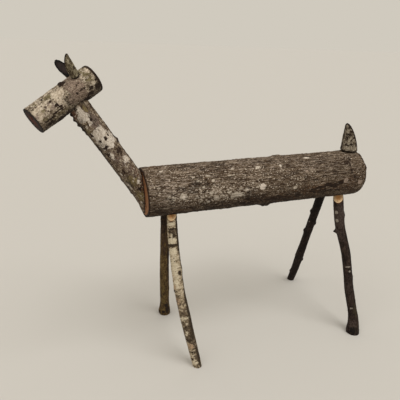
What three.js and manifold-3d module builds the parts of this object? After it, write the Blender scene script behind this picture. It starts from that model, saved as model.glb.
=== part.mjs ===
// A reindeer made of birch logs and sticks: ten pieces of round wood with their bark on.
// Millimetres, +Z up. The deer looks towards -X, its left side faces -Y, and it stands on the plane Z = 0.
// Places are given from the floor point under the middle of the body log, and the last step moves the
// whole deer so that the origin is the middle of the rectangle that it covers on the floor.

import * as THREE from 'three';
import { mergeVertices } from 'three/addons/utils/BufferGeometryUtils.js';
import Module from 'manifold-3d';

const wasm = await Module();
wasm.setup();

// Room left between pieces that touch, and how far a cutter runs on into the open air
const JOINT_GAP = 0.3;
const CUTTER_RUN = 12;

// Body log: a level trunk section, a little thicker at the rear, both ends sawn square
const BODY_LENGTH = 607;
const BODY_FRONT_HEIGHT = 446.9;
const BODY_REAR_HEIGHT = 448.5;
const BODY_FRONT_RADIUS = 58.6;
const BODY_REAR_RADIUS = 62.6;
const BODY_FACE = -BODY_LENGTH / 2;

// Neck: a thick branch, its lower end mitred onto the body's front end, its upper end coped under the head
const NECK_FOOT = new THREE.Vector3(BODY_FACE, 0, 448.7);
const NECK_TOP = new THREE.Vector3(-433.4, 1, 646);
const NECK_RADIUS_BELOW = 23.2;
const NECK_RADIUS_ABOVE = 21.8;
const NECK_SPARE = 40;
const NECK_SUNK = 11;

// Head: a short log, muzzle down and turned towards the deer's left, both ends sawn square
const MUZZLE = new THREE.Vector3(-525.4, -27.3, 626.3);
const HEAD_BACK = new THREE.Vector3(-402.3, 16.1, 702.6);
const MUZZLE_RADIUS = 27.6;
const HEAD_BACK_RADIUS = 28.6;

// Ears: branch ends with one long slanting cut that faces the other ear, let into the top of the head
const EAR_RADIUS = 9.2;
const EAR_SUNK = 3;
const EAR_CUT_ANGLE = 26;
const EAR_LEFT = { station: 117.5, round: 22, splay: 11, lean: -4, length: 55, twist: 20 };
const EAR_RIGHT = { station: 118.4, round: 30, splay: 14, lean: -13, length: 42, twist: 16 };

// A cut branch end is slightly thinner at its tip than at its foot
const STUB_TAPER = 0.97;

// The most that a cut branch end stands out of round, as a share of its radius
const STUB_SWELL = 1.02;

// Tail: a branch end standing on the rear of the body, its slanting cut facing backwards
const TAIL_STATION = 283.5;
const TAIL_RADIUS = 22.9;
const TAIL_SUNK = 1;
const TAIL_SEAT_MARGIN = 4;
const TAIL_LENGTH = 80;
const TAIL_CUT_ANGLE = 26.6;
const TAIL_LEAN = 2;

// Legs: crooked sticks, whittled to a round peg at the top, splayed sideways from holes under the body
const PEG_RADIUS = 8;
const PEG_DEPTH = 20;
const PEG_ROOT = 9;
const PEG_SIDES = 20;
const LEG_SPARE = 12;

// One leg: top [x, y] where it meets the body, foot [x, y] on the floor, bends [part of the length,
// shift along X], girths [part of the length, radius], knots as in the log function below, and the
// length of the slanting flat that was whittled on its outer side under the body
const LEGS = {
  leg_front_left: {
    top: [-238.5, -25], foot: [-193, -117], flat: 19, colour: '#a49a86',
    bends: [[0.18, -8], [0.4, -10.7], [0.68, -7.8]],
    girths: [[0, 12.2], [0.18, 12.6], [0.45, 11.9], [0.62, 13], [0.8, 11.3], [0.92, 10.6], [1, 9.2]],
    knots: [
      { part: 0.45, turn: -30, height: 1.5, spread: 8 },
      { part: 0.35, turn: 68, height: 1.2, spread: 9 },
    ],
  },
  leg_front_right: {
    top: [-240, 25], foot: [-207, 122], flat: 19, colour: '#584c34',
    bends: [[0.5, -2]],
    girths: [[0, 11.5], [0.35, 11.9], [0.6, 13], [0.87, 13.2], [0.95, 17], [1, 17]],
    knots: [{ part: 0.72, turn: 112, height: 1.5, spread: 9 }],
  },
  leg_rear_left: {
    top: [253, -26], foot: [289, -146.5], flat: 28, colour: '#2e2620',
    bends: [[0.16, -5], [0.3, 0.3], [0.44, 6.5], [0.66, 2.8], [0.86, 6.6]],
    girths: [[0, 14], [0.14, 14], [0.32, 12.9], [0.56, 12.3], [0.72, 13], [0.83, 12.2], [1, 14.5]],
    knots: [
      { part: 0.255, turn: -105, height: 6, spread: 6 },
      { part: 0.16, turn: 68, height: 2, spread: 9 },
      { part: 0.95, turn: -100, height: 6, spread: 12 },
    ],
  },
  leg_rear_right: {
    top: [239.5, 26], foot: [273, 161], flat: 24, colour: '#2b241f',
    bends: [[0.5, 1.7], [0.85, 3.5]],
    girths: [[0, 12.5], [0.3, 12], [0.52, 12], [0.68, 13.4], [0.85, 12.4], [1, 11.4]],
    knots: [
      { part: 0.4, turn: 112, height: 2, spread: 9 },
      { part: 0.68, turn: -68, height: 2, spread: 9 },
    ],
  },
};

const UP = new THREE.Vector3(0, 0, 1);
const LEFT = new THREE.Vector3(0, -1, 0);

function radians(degrees) {
  return THREE.MathUtils.degToRad(degrees);
}

// A radius that eases from one [part, radius] station to the next
function girthAt(stations, part) {
  const next = stations.findIndex(([end]) => end >= part);
  if (next <= 0) {
    return next === 0 ? stations[0][1] : stations[stations.length - 1][1];
  }
  const [start, before] = stations[next - 1];
  const [end, after] = stations[next];
  return THREE.MathUtils.lerp(before, after, THREE.MathUtils.smoothstep(part, start, end));
}

// Two directions square to an axis: the first as near as can be to the side that turns are counted from
function crossDirections(axis, counted) {
  const first = counted.clone().addScaledVector(axis, -counted.dot(axis)).normalize();
  const second = first.clone().cross(axis);
  return [first, second];
}

// A piece of round wood from one point to another. Its middle line passes through the bends, and its
// girth follows the stations, slightly out of round. A knot is a smooth swelling: its part of the length,
// its turn round the log in degrees from the counted side, its height and its spread.
function logGeometry({ from, to, bends = [], girths, knots = [], counted = UP, oval = 0.02, sides, rings }) {
  const chord = to.clone().sub(from);
  const length = chord.length();
  const [first, second] = crossDirections(chord.clone().normalize(), counted);
  const bendPoints = bends.map(([part, shift]) => {
    return from.clone().addScaledVector(chord, part).add(new THREE.Vector3(shift, 0, 0));
  });
  const middle = new THREE.CatmullRomCurve3([from, ...bendPoints, to]);
  const geometry = new THREE.CylinderGeometry(1, 1, 1, sides, rings);
  const places = geometry.attributes.position;
  for (let index = 0; index < places.count; index += 1) {
    const part = THREE.MathUtils.clamp(places.getY(index) + 0.5, 0, 1);
    const reach = Math.hypot(places.getX(index), places.getZ(index));
    const angle = Math.atan2(places.getZ(index), places.getX(index));
    let radius = girthAt(girths, part);
    radius *= 1 + oval * Math.cos(2 * angle + 3 * part) + 0.5 * oval * Math.cos(3 * angle - 5 * part + 1);
    for (const knot of knots) {
      const around = Math.atan2(Math.sin(angle - radians(knot.turn)), Math.cos(angle - radians(knot.turn)));
      const away = Math.hypot((part - knot.part) * length, around * radius);
      radius += knot.height * Math.exp(-0.5 * (away / knot.spread) ** 2);
    }
    const place = middle.getPointAt(part);
    place.addScaledVector(first, reach * radius * Math.cos(angle));
    place.addScaledVector(second, reach * radius * Math.sin(angle));
    places.setXYZ(index, place.x, place.y, place.z);
  }
  return geometry;
}

function solidOf(geometry) {
  geometry.deleteAttribute('normal');
  geometry.deleteAttribute('uv');
  const merged = mergeVertices(geometry, 0.0001);
  const mesh = new wasm.Mesh({
    numProp: 3,
    vertProperties: new Float32Array(merged.attributes.position.array),
    triVerts: new Uint32Array(merged.index.array),
  });
  return new wasm.Manifold(mesh);
}

function geometryOf(solid) {
  const mesh = solid.getMesh();
  const geometry = new THREE.BufferGeometry();
  geometry.setAttribute('position', new THREE.BufferAttribute(new Float32Array(mesh.vertProperties), 3));
  geometry.setIndex(new THREE.BufferAttribute(new Uint32Array(mesh.triVerts), 1));
  geometry.computeVertexNormals();
  return geometry;
}

// All the space beyond a flat cut, as a large block whose near face is the cut
function beyond(point, normal) {
  const reach = 400;
  const block = new THREE.BoxGeometry(reach, reach, reach);
  block.translate(0, 0, reach / 2);
  block.applyQuaternion(new THREE.Quaternion().setFromUnitVectors(UP, normal));
  block.translate(point.x, point.y, point.z);
  return solidOf(block);
}

// A plain round bar, for pegs, holes and seats
function bar(from, to, radius, sides) {
  const geometry = new THREE.CylinderGeometry(radius, radius, from.distanceTo(to), sides);
  const direction = to.clone().sub(from).normalize();
  geometry.applyQuaternion(new THREE.Quaternion().setFromUnitVectors(new THREE.Vector3(0, 1, 0), direction));
  const centre = from.clone().lerp(to, 0.5);
  geometry.translate(centre.x, centre.y, centre.z);
  return solidOf(geometry);
}

// A branch end standing on its square-cut foot, with one slanting cut up to its tip. The cut leans
// away from the axis by the cut angle and looks towards the given side.
function slantedStub({ foot, axis, side, radius, length, cutAngle, sides, rings }) {
  const girths = [[0, radius], [1, radius * STUB_TAPER]];
  const blunt = foot.clone().addScaledVector(axis, length + 1);
  const round = logGeometry({ from: foot, to: blunt, girths, counted: side, oval: 0.012, sides, rings });
  const square = side.clone().addScaledVector(axis, -side.dot(axis)).normalize();
  const normal = square.clone().multiplyScalar(Math.cos(radians(cutAngle)));
  normal.addScaledVector(axis, Math.sin(radians(cutAngle)));
  const tip = foot.clone().addScaledVector(axis, length).addScaledVector(square, -radius * STUB_TAPER);
  return solidOf(round).subtract(beyond(tip, normal));
}

const reindeer = new THREE.Group();
reindeer.name = 'birch_log_reindeer';

function addPiece(name, solid, colour, roughness) {
  const material = new THREE.MeshStandardMaterial({ color: colour, roughness, metalness: 0 });
  const mesh = new THREE.Mesh(geometryOf(solid), material);
  mesh.name = name;
  reindeer.add(mesh);
}

// Body log, with a swelling knot on its back and a larger one under its belly
const bodyFront = new THREE.Vector3(BODY_FACE, 0, BODY_FRONT_HEIGHT);
const bodyRear = new THREE.Vector3(-BODY_FACE, 0, BODY_REAR_HEIGHT);
const BODY_KNOTS = [
  { part: 0.6, turn: 18, height: 3.4, spread: 11 },
  { part: 0.524, turn: -155, height: 5, spread: 12 },
  { part: 0.97, turn: 12, height: 2, spread: 14 },
];

function bodySolid(extra) {
  return solidOf(logGeometry({
    from: bodyFront, to: bodyRear, knots: BODY_KNOTS, oval: 0.008, sides: 40, rings: 28,
    girths: [[0, BODY_FRONT_RADIUS + extra], [1, BODY_REAR_RADIUS + extra]],
  }));
}

// Height of the body's underside at a place on the plan
function undersideHeight(x, y) {
  const part = (x - BODY_FACE) / BODY_LENGTH;
  const radius = THREE.MathUtils.lerp(BODY_FRONT_RADIUS, BODY_REAR_RADIUS, part);
  const middle = THREE.MathUtils.lerp(BODY_FRONT_HEIGHT, BODY_REAR_HEIGHT, part);
  return middle - Math.sqrt(radius ** 2 - y ** 2);
}

let body = bodySolid(0);
const bodyWithRoom = bodySolid(JOINT_GAP);

// Legs: each is coped to the body's underside, shaved flat on its outer side just below it, pegged
// into its hole, and cut off level at the floor
for (const [name, leg] of Object.entries(LEGS)) {
  const top = new THREE.Vector3(leg.top[0], leg.top[1], undersideHeight(leg.top[0], leg.top[1]));
  const foot = new THREE.Vector3(leg.foot[0], leg.foot[1], 0);
  const fall = foot.clone().sub(top).normalize();
  const upperEnd = top.clone().addScaledVector(fall, -LEG_SPARE);
  const lowerEnd = foot.clone().addScaledVector(fall, LEG_SPARE);
  let stick = solidOf(logGeometry({
    from: upperEnd, to: lowerEnd, bends: leg.bends, girths: leg.girths, knots: leg.knots,
    counted: LEFT, oval: 0.035, sides: 16, rings: 22,
  }));
  const outward = new THREE.Vector3(0, Math.sign(leg.top[1]), 0);
  const [across] = crossDirections(fall, outward);
  const shave = Math.atan2(leg.girths[0][1] - PEG_RADIUS, leg.flat);
  const flatNormal = across.clone().multiplyScalar(Math.cos(shave)).addScaledVector(fall, -Math.sin(shave));
  const flatPoint = top.clone().addScaledVector(across, PEG_RADIUS);
  stick = stick.subtract(bodyWithRoom);
  stick = stick.subtract(beyond(flatPoint, flatNormal));
  stick = stick.subtract(beyond(foot, new THREE.Vector3(0, 0, -1)));
  stick = stick.add(bar(
    top.clone().addScaledVector(fall, -PEG_DEPTH),
    top.clone().addScaledVector(fall, PEG_ROOT),
    PEG_RADIUS,
    PEG_SIDES,
  ));
  const hole = bar(
    top.clone().addScaledVector(fall, -PEG_DEPTH - JOINT_GAP),
    top.clone().addScaledVector(fall, CUTTER_RUN),
    PEG_RADIUS + JOINT_GAP,
    PEG_SIDES,
  );
  body = body.subtract(hole);
  addPiece(name, stick, leg.colour, 0.92);
}

// Tail on its small flat seat
const tailPart = (TAIL_STATION - BODY_FACE) / BODY_LENGTH;
const tailHeight = THREE.MathUtils.lerp(BODY_FRONT_HEIGHT, BODY_REAR_HEIGHT, tailPart)
  + THREE.MathUtils.lerp(BODY_FRONT_RADIUS, BODY_REAR_RADIUS, tailPart) - TAIL_SUNK;
const tailFoot = new THREE.Vector3(TAIL_STATION, 0, tailHeight);
const tailAxis = new THREE.Vector3(Math.sin(radians(TAIL_LEAN)), 0, Math.cos(radians(TAIL_LEAN)));
const tail = slantedStub({
  foot: tailFoot, axis: tailAxis, side: new THREE.Vector3(1, 0, 0), radius: TAIL_RADIUS,
  length: TAIL_LENGTH, cutAngle: TAIL_CUT_ANGLE, sides: 28, rings: 5,
});
const tailSeat = bar(
  tailFoot.clone().addScaledVector(tailAxis, -JOINT_GAP),
  tailFoot.clone().addScaledVector(tailAxis, TAIL_SUNK + CUTTER_RUN),
  TAIL_RADIUS + TAIL_SEAT_MARGIN,
  28,
);
body = body.subtract(tailSeat);
addPiece('tail', tail, '#5d5548', 0.92);
addPiece('body_log', body, '#5c5142', 0.94);

// Neck
const neckRun = NECK_TOP.clone().sub(NECK_FOOT).normalize();
let neck = solidOf(logGeometry({
  from: NECK_FOOT.clone().addScaledVector(neckRun, -NECK_SPARE),
  to: NECK_TOP.clone().addScaledVector(neckRun, NECK_SUNK),
  girths: [[0, NECK_RADIUS_BELOW], [1, NECK_RADIUS_ABOVE]],
  knots: [
    { part: 0.6, turn: 5, height: 2.6, spread: 7 },
    { part: 0.88, turn: 175, height: 3, spread: 13 },
  ],
  oval: 0.015, sides: 26, rings: 15,
}));
neck = neck.subtract(beyond(new THREE.Vector3(BODY_FACE - JOINT_GAP, 0, 448), new THREE.Vector3(1, 0, 0)));

// Head, with the stump of a side branch on its brow
const headRun = HEAD_BACK.clone().sub(MUZZLE).normalize();
const headLength = MUZZLE.distanceTo(HEAD_BACK);
const headLeft = headRun.clone().cross(UP).normalize();
const headCrown = headLeft.clone().cross(headRun);

function headSolid(extra) {
  return solidOf(logGeometry({
    from: MUZZLE, to: HEAD_BACK, oval: 0.012, sides: 32, rings: 11,
    girths: [[0, MUZZLE_RADIUS + extra], [1, HEAD_BACK_RADIUS + extra]],
    knots: [
      { part: 0.57, turn: -14, height: 2.4, spread: 7 },
      { part: 0.85, turn: 180, height: 2, spread: 16 },
    ],
  }));
}

let head = headSolid(0);
neck = neck.subtract(headSolid(JOINT_GAP));
addPiece('neck_log', neck, '#857c6c', 0.93);

// Ears: the left one is on the side of the deer's left, and the right one mirrors it
for (const [name, ear, outward] of [['ear_left', EAR_LEFT, 1], ['ear_right', EAR_RIGHT, -1]]) {
  const outside = headLeft.clone().multiplyScalar(outward);
  const radial = headCrown.clone().multiplyScalar(Math.cos(radians(ear.round)));
  radial.addScaledVector(outside, Math.sin(radians(ear.round)));
  const depth = THREE.MathUtils.lerp(MUZZLE_RADIUS, HEAD_BACK_RADIUS, ear.station / headLength) - EAR_SUNK;
  const foot = MUZZLE.clone().addScaledVector(headRun, ear.station).addScaledVector(radial, depth);
  const axis = headCrown.clone().multiplyScalar(Math.cos(radians(ear.splay)) * Math.cos(radians(ear.lean)));
  axis.addScaledVector(outside, Math.sin(radians(ear.splay)) * Math.cos(radians(ear.lean)));
  axis.addScaledVector(headRun, Math.sin(radians(ear.lean)));
  axis.normalize();
  const side = outside.clone().multiplyScalar(-Math.cos(radians(ear.twist)));
  side.addScaledVector(headRun, -Math.sin(radians(ear.twist)));
  const stub = slantedStub({
    foot, axis, side, radius: EAR_RADIUS, length: ear.length, cutAngle: EAR_CUT_ANGLE, sides: 24, rings: 4,
  });
  const seat = bar(
    foot.clone().addScaledVector(axis, -JOINT_GAP),
    foot.clone().addScaledVector(axis, EAR_SUNK + CUTTER_RUN),
    EAR_RADIUS * STUB_SWELL + JOINT_GAP,
    24,
  );
  head = head.subtract(seat);
  addPiece(name, stub, '#5a5244', 0.92);
}
addPiece('head_log', head, '#8a8070', 0.93);

// The origin is the middle of the rectangle that the deer covers, on the floor
const covered = new THREE.Box3();
for (const piece of reindeer.children) {
  piece.geometry.computeBoundingBox();
  covered.union(piece.geometry.boundingBox);
}
const centre = covered.getCenter(new THREE.Vector3());
reindeer.position.set(-centre.x, -centre.y, -covered.min.z);

export default reindeer;
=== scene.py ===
from math import cos, radians, sin

import bpy
import numpy as np
from mathutils import Matrix, Vector


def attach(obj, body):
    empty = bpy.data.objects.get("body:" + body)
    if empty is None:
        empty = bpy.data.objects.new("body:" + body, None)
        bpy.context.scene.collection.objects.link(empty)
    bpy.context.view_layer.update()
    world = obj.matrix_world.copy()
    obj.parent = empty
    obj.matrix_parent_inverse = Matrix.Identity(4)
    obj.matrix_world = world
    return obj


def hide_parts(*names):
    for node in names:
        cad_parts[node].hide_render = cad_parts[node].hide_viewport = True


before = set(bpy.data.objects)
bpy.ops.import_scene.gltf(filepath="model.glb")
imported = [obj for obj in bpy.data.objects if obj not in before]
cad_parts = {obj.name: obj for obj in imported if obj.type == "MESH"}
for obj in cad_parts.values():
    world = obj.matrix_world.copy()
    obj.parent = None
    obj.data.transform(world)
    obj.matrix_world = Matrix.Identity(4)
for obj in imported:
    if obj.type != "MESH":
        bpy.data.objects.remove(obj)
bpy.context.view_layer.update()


# Viewpoint: someone standing a metre away, in front of the deer and to its left, looks slightly
# down on it. The camera leans a little to one side.
CAMERA_PLACE = (-0.4135, -0.8911, 0.7958)
CAMERA_TURN = -22.87
CAMERA_DROP = 21.78
CAMERA_LEAN = 2.65
bpy.ops.object.camera_add(location=CAMERA_PLACE)
camera = bpy.context.object
aim = Matrix.Rotation(radians(CAMERA_TURN), 3, 'Z')
aim = aim @ Matrix.Rotation(radians(90 - CAMERA_DROP), 3, 'X')
aim = aim @ Matrix.Rotation(radians(CAMERA_LEAN), 3, 'Z')
camera.rotation_euler = aim.to_euler()
camera.data.sensor_width = 36
camera.data.lens = 37.35
camera.data.clip_end = 60
bpy.context.scene.camera = camera


# Body log: a level length of birch trunk with the bark on, 607 mm long and 117 to 125 mm across, its
# rear end sawn square and its front end a few degrees off square. Grey-brown bark with fine
# lengthwise furrows and scattered pale lichen. It carries all the other pieces.
def mm(*values):
    """A place or a step in millimetres, as the scene's metres."""
    return Vector(values) / 1000


def turned(first, second, turn):
    """The way that lies this many degrees from the first way towards the second."""
    return first * cos(radians(turn)) + second * sin(radians(turn))


def tone(red, green, blue):
    """A colour as seen on a screen, 0 to 255, as the light values that a finish works with. The
    numbers are those of the standard curve between the two."""
    shares = np.array((red, green, blue)) / 255
    light = np.where(shares <= 0.04045, shares / 12.92, ((shares + 0.055) / 1.055) ** 2.4)
    return (*light.tolist(), 1)


# Turns round a log are in degrees, clockwise as seen from its start. They are counted from its upper
# side, or, on the tail and the legs, from the side on the deer's left.
UP = Vector((0, 0, 1))
DEER_LEFT = Vector((0, -1, 0))


class RoundWood:
    """A log or stick: its mesh, and the middle line that it was drawn along. Bends are (part of the
    length, shift along x in mm)."""

    # How often a mesh is rounded off, and up to how many degrees an edge is shaded smooth.
    ROUNDING = 3
    SMOOTH_UP_TO = 48
    # A mark has half its strength at its edge, and the edge of a cut is marked this strongly.
    HALVING = 0.69
    CUT_EDGE = 1.2
    # A point this near to a cut, in metres, is on it. A face this near and this square belongs to it.
    ON_CUT = 2e-5
    CUT_DEPTH = 0.0022
    CUT_SQUARENESS = 0.75
    # A drying crack wanders by this many degrees, this fast along the radius. It narrows to nothing
    # at its inner and outer ends over one part in this many of the radius.
    CHECK_WANDER = 4
    CHECK_WAVES = 9
    CHECK_ENDS = (12, 25)

    def __init__(self, name, start, end, counted=UP, bends=()):
        self.name = name
        self.start = start
        self.length = (end - start).length
        self.axis = (end - start).normalized()
        self.first = (counted - self.axis * counted.dot(self.axis)).normalized()
        self.second = self.axis.cross(self.first)
        self.bends = [(0, 0), *bends, (1, 0)]
        self.cuts = []

    def middle(self, along):
        """The middle line's place, this far from the start."""
        parts, shifts = zip(*self.bends)
        shift = float(np.interp(along / self.length, parts, shifts))
        return self.start + self.axis * along + mm(shift, 0, 0)

    def draw(self, girths, sides, rings, spare=0.0):
        """Draws a disc out along the middle line ring by ring, then rounds it off. Girths are (part
        of the length, radius in mm), and the spare at both ends, in metres, is sawn off later.
        Rounding pulls a ring in, so the first is drawn larger."""
        parts, radii = zip(*girths)
        stations = np.linspace(-spare, self.length + spare, rings + 1)
        sizes = np.interp(stations / self.length, parts, radii) / 1000
        larger = 6 / (4 + 2 * cos(2 * np.pi / sides))
        turn = self.axis.to_track_quat('Z', 'Y').to_euler()
        bpy.ops.object.select_all(action='DESELECT')
        bpy.ops.mesh.primitive_circle_add(
            vertices=sides, radius=sizes[0] * larger, fill_type='NGON',
            location=self.middle(stations[0]), rotation=turn)
        self.piece = bpy.context.object
        self.piece.name = f"barked_{self.name}"
        self.piece.data.name = self.piece.name
        bpy.ops.object.transform_apply(location=True, rotation=True, scale=True)
        bpy.ops.object.mode_set(mode='EDIT')
        bpy.ops.mesh.select_all(action='SELECT')
        for index in range(1, rings + 1):
            here = self.middle(stations[index])
            step = here - self.middle(stations[index - 1])
            change = sizes[index] / sizes[index - 1]
            bpy.ops.mesh.extrude_region_move(TRANSFORM_OT_translate={"value": step})
            bpy.ops.transform.resize(value=(change, change, change), center_override=here)
        bpy.ops.mesh.select_all(action='SELECT')
        bpy.ops.mesh.normals_make_consistent(inside=False)
        bpy.ops.object.mode_set(mode='OBJECT')
        rounding = self.piece.modifiers.new("rounding", 'SUBSURF')
        rounding.levels = self.ROUNDING
        rounding.render_levels = self.ROUNDING
        bpy.ops.object.modifier_apply(modifier=rounding.name)

    def select(self):
        """Takes up this piece alone for the next step."""
        bpy.ops.object.select_all(action='DESELECT')
        self.piece.select_set(True)
        bpy.context.view_layer.objects.active = self.piece

    def read(self, parts, what):
        """Three numbers for each point or face of the mesh."""
        flat = np.empty(len(parts) * 3)
        parts.foreach_get(what, flat)
        return flat.reshape(-1, 3)

    def places(self):
        """Every point of the mesh, in metres."""
        return self.read(self.piece.data.vertices, "co")

    def move(self, places):
        """Puts the points of the mesh at new places."""
        self.piece.data.vertices.foreach_set("co", places.ravel())
        self.piece.data.update()

    def straight(self):
        """Each point's place as if the log were straight: two across it, and one along it."""
        away = self.places() - np.array(self.start)
        along = away @ np.array(self.axis)
        parts, shifts = zip(*self.bends)
        away[:, 0] -= np.interp(along / self.length, parts, shifts) / 1000
        away -= np.outer(along, self.axis)
        return np.stack([away @ np.array(self.first), away @ np.array(self.second), along], axis=1)

    def outward(self):
        """The way straight out of the bark at each point, square to the middle line."""
        straight = self.straight()
        outward = np.outer(straight[:, 0], self.first) + np.outer(straight[:, 1], self.second)
        return outward / np.maximum(np.linalg.norm(outward, axis=1), 1e-6)[:, None]

    def nearness(self, along, turn, long, wide):
        """How near each point of the bark is to a mark: 0 is the mark's middle and 1 its edge."""
        straight = self.straight()
        round_it = np.arctan2(straight[:, 1], straight[:, 0]) - radians(turn)
        round_it = np.arctan2(np.sin(round_it), np.cos(round_it))
        girth = np.hypot(straight[:, 0], straight[:, 1])
        length_off = (straight[:, 2] * 1000 - along) / (long / 2)
        width_off = round_it * girth * 1000 / (wide / 2)
        return np.hypot(length_off, width_off)

    def swell(self, knots):
        """Raises smooth knots: (part of the length, turn, height, spread) in mm and degrees."""
        places = self.places()
        outward = self.outward()
        for part, turn, height, spread in knots:
            near = self.nearness(part * self.length * 1000, turn, spread * 2, spread * 2)
            places += outward * (height / 1000 * np.exp(-0.5 * near ** 2))[:, None]
        self.move(places)

    def roughen(self, passes):
        """Raises the bark by patterns laid along the log: (pattern, mm across, mm along, mm high)."""
        before = self.places()
        for (kind, settings), across, along, height in passes:
            pattern = bpy.data.textures.new(f"{self.name} {kind.lower()}", kind)
            for setting, value in settings.items():
                setattr(pattern, setting, value)
            bpy.ops.object.empty_add()
            gauge = bpy.context.object
            turned = Matrix((self.first, self.second, self.axis)).transposed().to_4x4()
            sized = Matrix.Diagonal((across / 1000, across / 1000, along / 1000, 1))
            gauge.matrix_world = Matrix.Translation(self.start) @ turned @ sized
            self.select()
            relief = self.piece.modifiers.new("bark relief", 'DISPLACE')
            relief.texture = pattern
            relief.texture_coords = 'OBJECT'
            relief.texture_coords_object = gauge
            relief.strength = height / 1000
            relief.mid_level = 0.5
            bpy.ops.object.modifier_apply(modifier=relief.name)
            bpy.data.objects.remove(gauge)
        raised = ((self.places() - before) * self.outward()).sum(axis=1) * 1000
        self.write("relief", raised - raised.mean())

    def write(self, layer, values):
        """Stores one number for each point of the mesh, for the finish to read."""
        stored = self.piece.data.attributes.new(layer, 'FLOAT', 'POINT')
        stored.data.foreach_set("value", np.asarray(values, dtype=np.float32))

    def saw(self, place, facing, rings=(0.93, 0.8, 0.7, 0.6, 0.4), checks=()):
        """Cuts the log off flat and draws rings into the cut. A check is a drying crack in the cut:
        (turn, inner and outer share of the radius, degrees wide, mm deep)."""
        facing = facing.normalized()
        lead = (place - self.start).dot(facing) / self.axis.dot(facing)
        heart = self.middle(lead)
        heart -= facing * (heart - place).dot(facing)
        self.select()
        bpy.ops.object.mode_set(mode='EDIT')
        bpy.ops.mesh.select_mode(type='VERT')
        bpy.ops.mesh.select_all(action='SELECT')
        bpy.ops.mesh.bisect(plane_co=place, plane_no=facing, use_fill=True, clear_outer=True)
        bpy.ops.mesh.select_mode(type='FACE')
        for ring in rings:
            bpy.ops.mesh.extrude_region_move(TRANSFORM_OT_translate={"value": (0, 0, 0)})
            bpy.ops.transform.resize(value=(ring, ring, ring), center_override=heart)
        bpy.ops.mesh.merge(type='CENTER')
        bpy.ops.mesh.select_mode(type='VERT')
        bpy.ops.mesh.select_all(action='DESELECT')
        bpy.ops.object.mode_set(mode='OBJECT')
        self.cuts.append((Vector(place), facing))
        if checks:
            places = self.places()
            straight = self.straight()
            on_cut = np.abs((places - np.array(place)) @ np.array(facing)) < self.ON_CUT
            turns = np.degrees(np.arctan2(straight[:, 1], straight[:, 0]))
            share = np.hypot(straight[:, 0], straight[:, 1])
            share = share / share[on_cut].max()
            for turn, inner, outer, wide, deep in checks:
                off = (turns - turn + 180) % 360 - 180
                off = off - self.CHECK_WANDER * np.sin(share * self.CHECK_WAVES + turn)
                open_by = np.clip(1 - np.abs(off) * share / (wide / 2), 0, 1)
                inner_end = np.clip((share - inner) * self.CHECK_ENDS[0], 0, 1)
                outer_end = np.clip((outer - share) * self.CHECK_ENDS[1], 0, 1)
                open_by *= inner_end * outer_end
                places -= np.outer(np.where(on_cut, open_by, 0) * deep / 1000, facing)
            self.move(places)

    def paint(self, layer, marks, ground=0.0, edge=0.0):
        """Marks patches on the bark: (mm along, turn, mm long, mm wide, strength). An edge is a mark
        this many millimetres wide along every cut."""
        level = np.full(len(self.piece.data.vertices), float(ground))
        for place, facing in self.cuts if edge else ():
            depth = (self.places() - np.array(place)) @ np.array(facing) * 1000
            level = np.maximum(level, self.CUT_EDGE * np.exp(-self.HALVING * (depth / edge) ** 2))
        for along, turn, long, wide, strength in marks:
            near = self.nearness(along, turn, long, wide)
            fade = np.exp(-self.HALVING * near ** 2)
            level = np.maximum(level, ground + (strength - ground) * fade)
        self.write(layer, level)

    def dress(self, body, bark, *wood):
        """Gives bark and cut faces their finishes, and says which body the piece rides on and which
        solid it stands for. Wood finishes go to the cuts in turn, and the last to the rest."""
        mesh = self.piece.data
        grain = mesh.attributes.new("grain", 'FLOAT_VECTOR', 'POINT')
        grain.data.foreach_set("vector", self.straight().ravel().astype(np.float32))
        mesh.materials.clear()
        mesh.materials.append(bark)
        for finish in wood:
            mesh.materials.append(finish)
        centres = self.read(mesh.polygons, "center")
        facings = self.read(mesh.polygons, "normal")
        finishes = np.zeros(len(mesh.polygons), dtype=np.int32)
        for number, (place, facing) in enumerate(self.cuts):
            off = (centres - np.array(place)) @ np.array(facing)
            square = facings @ np.array(facing)
            cut = (np.abs(off) < self.CUT_DEPTH) & (square > self.CUT_SQUARENESS)
            finishes[cut] = min(number + 1, len(wood))
        mesh.polygons.foreach_set("material_index", finishes)
        self.select()
        bpy.ops.object.shade_smooth_by_angle(angle=radians(self.SMOOTH_UP_TO))
        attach(self.piece, body)
        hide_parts(self.name)


DRY_WOOD_SHEEN = 0.25


def start_finish(name, roughness):
    """A new finish, the function that adds one node to it, and the one that feeds its shader."""
    finish = bpy.data.materials.new(name)
    finish.use_nodes = True
    nodes = finish.node_tree.nodes
    links = finish.node_tree.links

    def add(kind, inputs=None, **settings):
        node = nodes.new("ShaderNode" + kind)
        for setting, value in settings.items():
            setattr(node, setting, value)
        for socket, value in (inputs or {}).items():
            if isinstance(value, bpy.types.NodeSocket):
                links.new(value, node.inputs[socket])
            else:
                node.inputs[socket].default_value = value
        return node

    shader = nodes["Principled BSDF"]
    shader.inputs["Roughness"].default_value = roughness
    shader.inputs["Specular IOR Level"].default_value = DRY_WOOD_SHEEN

    def connect(socket, value):
        links.new(value, shader.inputs[socket])

    return finish, add, connect


def laid_along(add, across, along, seed):
    """Places on the log, counted in steps of this many millimetres across and along it."""
    grain = add("Attribute", attribute_name="grain").outputs["Vector"]
    scale = (1000 / across, 1000 / across, 1000 / along)
    return add("Mapping", {"Vector": grain, "Scale": scale, "Location": (seed, seed, seed)}).outputs[0]


def grained(add, across, along, detail=4.0, rough=0.6, seed=0.0):
    """Noise laid along the log, its features this many millimetres across and along it."""
    placed = laid_along(add, across, along, seed)
    noise = add("TexNoise", {"Vector": placed, "Scale": 1.0, "Detail": detail, "Roughness": rough})
    return noise.outputs[0]


def worked(add, operation, *values):
    """The result of one sum."""
    return add("Math", dict(enumerate(values)), operation=operation).outputs[0]


def times(add, value, factor):
    """One value times another."""
    return worked(add, 'MULTIPLY', value, factor)


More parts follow.
